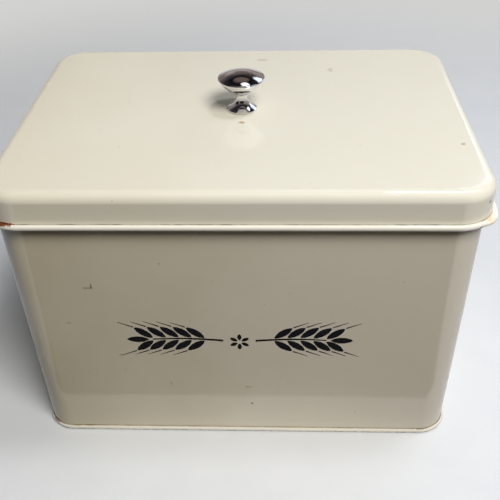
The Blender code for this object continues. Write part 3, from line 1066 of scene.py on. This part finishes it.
def zinc_plate():
    """Bright zinc plate on the steel screw and washer.

    Barrel plating leaves a satin skin of fine crystals with dull and faintly yellow patches.
    """
    material, tree, place = start_material("zinc_plate", Metallic=1)
    colour = layered(tree, ZINC_BRIGHT, [(patches(tree, place, ZINC_PATCHES), ZINC_DULL)])
    set_surface(tree, place, colour, patches(tree, place, ZINC_SATIN), ZINC_CRYSTALS)
    return material


def printed_ink():
    """Screen-printed enamel ink, near black, baked on the coat.

    It lies thin and a little less glossy than the coat, and is nicked down to the cream in a few places.
    """
    material, tree, place = start_material("printed_ink", IOR=1.5)
    colour = layered(tree, INK_DENSE, [
        (patches(tree, place, INK_PATCHES), INK_THIN),
        (patches(tree, place, INK_NICKS), INK_NICKED),
    ])
    set_surface(tree, place, colour, patches(tree, place, INK_SHEEN), SCREEN_MESH)
    return material


# Floor and backdrop


FLOOR_RADIUS = 4
FLOOR_CLEAR_RADIUS = 0.45
FLOOR_FADE_RADIUS = 1.1
LAMINATE_WHITE = "EEEEEC"
LAMINATE_GREY = "EAEBE9"
LAMINATE_MOTTLE = Pattern(50 * MILLIMETRE, 3, 0.5, (0.3, 0.7))
LAMINATE_SATIN = Pattern(30 * MILLIMETRE, 4, 0.5, (0.3, 0.7), (0.38, 0.46))

# Where the floor is dim: past an oval round the box, and in front of the box between two slanting sides
FLOOR_DIM = "4C4844"
FLOOR_OVAL_STRETCH = (0.7, 1, 1)
FLOOR_OVAL_RADII = (0.135, 0.19)
FLOOR_FRONT_EDGE = (-0.150, -0.154)
FLOOR_FRONT_SLANT = (1, -0.37, 0)
FLOOR_FRONT_SIDES = (0.14, 0.125)

BACKDROP = "D2D2D0"
BACKDROP_STRENGTH = 1
ROOM_STRENGTH = 0.06


def backdrop(tree, glow_kind):
    """Pale to the camera and in reflections, and dim where it only lights the object."""
    ray = add(tree, "LightPath", {})
    seen = add(tree, "Math", [ray["Is Camera Ray"], ray["Is Glossy Ray"]], operation="MAXIMUM")[0]
    seen = add(tree, "Math", [seen, ray["Is Transmission Ray"]], operation="MAXIMUM")[0]
    dim = add(tree, glow_kind, {"Color": BACKDROP, "Strength": ROOM_STRENGTH})[0]
    pale = add(tree, glow_kind, {"Color": BACKDROP, "Strength": BACKDROP_STRENGTH})[0]
    return add(tree, "MixShader", [seen, dim, pale])[0]


def make_room():
    """The backdrop all round."""
    world = bpy.data.worlds.new("room")
    world.use_nodes = True
    tree = world.node_tree
    tree.nodes.clear()
    add(tree, "OutputWorld", {"Surface": backdrop(tree, "Background")})
    bpy.context.scene.world = world


def floor_dimming(tree, place):
    """Where the floor counts as dark, though the camera sees it pale all over.

    It bounces light only from near the box, and reflections show it dark in front of the box.
    """
    ray = add(tree, "LightPath", {})
    oval = add(tree, "VectorMath", [place, FLOOR_OVAL_STRETCH], operation="MULTIPLY")["Vector"]
    from_box = add(tree, "VectorMath", [oval], operation="LENGTH")["Value"]
    far = add(tree, "MapRange", [from_box, *FLOOR_OVAL_RADII])["Result"]
    bounced = add(tree, "Math", [far, ray["Is Diffuse Ray"]], operation="MULTIPLY")[0]
    backward = add(tree, "SeparateXYZ", [place])["Y"]
    past_edge = add(tree, "MapRange", [backward, *FLOOR_FRONT_EDGE])["Result"]
    spread = add(tree, "VectorMath", [place], operation="ABSOLUTE")["Vector"]
    to_the_side = add(tree, "VectorMath", [spread, FLOOR_FRONT_SLANT], operation="DOT_PRODUCT")["Value"]
    between_sides = add(tree, "MapRange", [to_the_side, *FLOOR_FRONT_SIDES])["Result"]
    in_front = add(tree, "Math", [past_edge, between_sides], operation="MULTIPLY")[0]
    mirrored = add(tree, "Math", [in_front, ray["Is Glossy Ray"]], operation="MULTIPLY")[0]
    return add(tree, "Math", [bounced, mirrored], operation="MAXIMUM")[0]


def floor_finish():
    """Satin white laminate, pressed against a finely textured plate.

    The plate leaves it a low sheen, in which the box shows only as a soft blur. Away from the box it
    fades into the pale backdrop.
    """
    material, tree, place = start_material("white_laminate", IOR=1.5)
    colour = layered(tree, LAMINATE_WHITE, [
        (patches(tree, place, LAMINATE_MOTTLE), LAMINATE_GREY),
        (floor_dimming(tree, place), FLOOR_DIM),
    ])
    laminate = set_surface(tree, place, colour, patches(tree, place, LAMINATE_SATIN))
    from_middle = add(tree, "VectorMath", [place], operation="LENGTH")["Value"]
    fade = add(
        tree, "MapRange", [from_middle, FLOOR_CLEAR_RADIUS, FLOOR_FADE_RADIUS],
        interpolation_type="SMOOTHSTEP")["Result"]
    surface = add(tree, "MixShader", [fade, laminate, backdrop(tree, "Emission")])[0]
    tree.links.new(surface, tree.nodes["Material Output"].inputs["Surface"])
    return material


def make_floor():
    bm = bmesh.new()
    bmesh.ops.create_circle(bm, cap_ends=True, segments=TURNED_STEPS, radius=FLOOR_RADIUS)
    floor = new_piece("floor", bm)
    floor.data.materials.append(floor_finish())


# Kitchen


KITCHEN_RADIUS = 2.6
KITCHEN_FOOT = 0.35
KITCHEN_HEIGHT = 2.3
KITCHEN_TURN = 0.7
KITCHEN_DARK_FROM = 1.2
KITCHEN_STRENGTH = 1.6
PAINT_DARK = "5F5450"
PAINT_PALE = "918985"
PAINT_OVERHEAD = "211E20"
PAINT_PATCHES = Pattern(700 * MILLIMETRE, 4, 0.6, (0.38, 0.62))
KITCHEN_RAGGED_EDGE = Pattern(400 * MILLIMETRE, 4, 0.6, (0.2, 0.8), (-0.3, 0.3))
# Marks on the glowing shell: the ceiling light, window and pale ceiling are painted highlights, the dark
# wall and doorway painted dark reflections
KITCHEN_MARKS = {
    "shade_rim": Mark((-100, 1200, 2300), (900, 800, 600), "0C0C10", 0.95),
    "shade": Mark((-70, 1250, 2300), (520, 440, 600), "5A4E46", 0.9),
    "ceiling_light": Mark((250, 620, 2300), (290, 200, 400), "FFFFFF", 1),
    "window": Mark((1180, 2050, 2150), (380, 420, 500), "D8EAF8", 1),
    "pale_ceiling": Mark((100, -750, 2300), (700, 450, 500), "BFB8AD", 0.9),
    "dark_wall": Mark((0, -2500, 900), (2000, 900, 1000), "0A0909", 0.95),
    "dark_doorway": Mark((-2500, -500, 800), (900, 1400, 1000), "0A0909", 0.95),
}


def reflected_room_glow():
    """Glowing shell painted as dim walls and ceiling, uneven and smudged, for the knob and gloss coat to
    mirror: painted reflections, with a ceiling light and a window painted in as the knob's highlights.
    """
    material, tree, place = start_material("glowing_room_reflections")
    height = add(tree, "SeparateXYZ", [place])["Z"]
    overhead = add(tree, "MapRange", [height, KITCHEN_DARK_FROM, KITCHEN_HEIGHT])["Result"]
    ragged = patches(tree, place, KITCHEN_RAGGED_EDGE)
    colour = layered(tree, PAINT_DARK, [
        (patches(tree, place, PAINT_PATCHES), PAINT_PALE),
        (overhead, PAINT_OVERHEAD),
        *mark_layers(tree, place, ragged, KITCHEN_MARKS),
    ])
    glow = add(tree, "Emission", {"Color": colour, "Strength": KITCHEN_STRENGTH})[0]
    tree.links.new(glow, tree.nodes["Material Output"].inputs["Surface"])
    return material


def make_kitchen():
    """A glowing shell of walls and ceiling round the box that shows only as reflections."""
    profile = [(KITCHEN_RADIUS, KITCHEN_FOOT)]
    turn_centre = (KITCHEN_RADIUS - KITCHEN_TURN, KITCHEN_HEIGHT - KITCHEN_TURN)
    profile.extend(arc(turn_centre, KITCHEN_TURN, 0, QUARTER_TURN, FOLD_STEPS))
    profile.append((0, KITCHEN_HEIGHT))
    kitchen = turned_piece("kitchen", profile, 0)
    kitchen.data.materials.append(reflected_room_glow())
    kitchen.visible_camera = False
    kitchen.visible_diffuse = False
    kitchen.visible_shadow = False


# Lamps and camera


class Lamp(NamedTuple):
    """A soft rectangular lamp, which leaves no highlight if it isn't mirrored."""

    place: tuple
    target: tuple
    width: float
    depth: float
    power: float
    colour: str
    mirrored: bool = True


LAMPS = {
    "front_lamp": Lamp((0.55, -0.9, 1.6), (0, 0, 0.15), 0.8, 0.7, 28, "FCFCFD", mirrored=False),
    "over_lamp": Lamp((0.43, 0, 1.65), (0, 0, 0.2), 0.2, 0.2, 4.2, "F2F6FF"),
    "key_lamp": Lamp((0.74, 0.16, 1.55), (0, 0, 0.2), 0.42, 0.7, 2.3, "DCE8FF"),
    "side_lamp": Lamp((0.95, 1.1, 0.85), (0, 0, 0.2), 0.7, 0.8, 2.4, "D5E4FF"),
    "back_lamp": Lamp((0.4, 1.9, 0.75), (0, 0, 0.1), 0.9, 0.6, 4.5, "E6EEFF", mirrored=False),
}


def make_lamps():
    """The lamps, out of the camera's sight."""
    for name, lamp in LAMPS.items():
        light = bpy.data.lights.new(name, "AREA")
        light.shape = "RECTANGLE"
        light.size = lamp.width
        light.size_y = lamp.depth
        light.energy = lamp.power
        light.color = linear(lamp.colour)[:3]
        shining = Vector(lamp.target) - Vector(lamp.place)
        holder = bpy.data.objects.new(name, light)
        holder.location = lamp.place
        holder.rotation_euler = shining.to_track_quat("-Z", "Y").to_euler()
        holder.visible_camera = False
        holder.visible_glossy = lamp.mirrored
        bpy.context.scene.collection.objects.link(holder)


def place_camera():
    """A camera that stands, turns and tilts as the photograph's did."""
    camera_data = bpy.data.cameras.new("camera")
    camera_data.lens = CAMERA_LENS
    camera = bpy.data.objects.new("camera", camera_data)
    camera.matrix_world = (
        Matrix.Translation(CAMERA_PLACE)
        @ Matrix.Rotation(CAMERA_TURN, 4, "Z")
        @ Matrix.Rotation(QUARTER_TURN - CAMERA_DOWN, 4, "X")
        @ Matrix.Rotation(CAMERA_ROLL, 4, "Z")
    )
    bpy.context.scene.collection.objects.link(camera)
    bpy.context.scene.camera = camera


def main():
    box_coat = cream_coat("box_stoved_enamel", BOX_COLOURS, SEAM_HIGHLIGHT_AND_CREASE, BOX_MARKS)
    lid_coat = cream_coat("lid_stoved_enamel", LID_COLOURS, HEM_HIGHLIGHT_AND_CREASE, LID_MARKS)
    plate = zinc_plate()
    make_wall(box_coat)
    make_bottom(box_coat)
    make_lid(lid_coat)
    make_knob(chrome_plate())
    make_washer(plate)
    make_screw(plate)
    make_ornament(printed_ink())
    make_floor()
    make_kitchen()
    make_room()
    make_lamps()
    place_camera()
    bpy.context.scene.view_settings.view_transform = "Standard"


main()
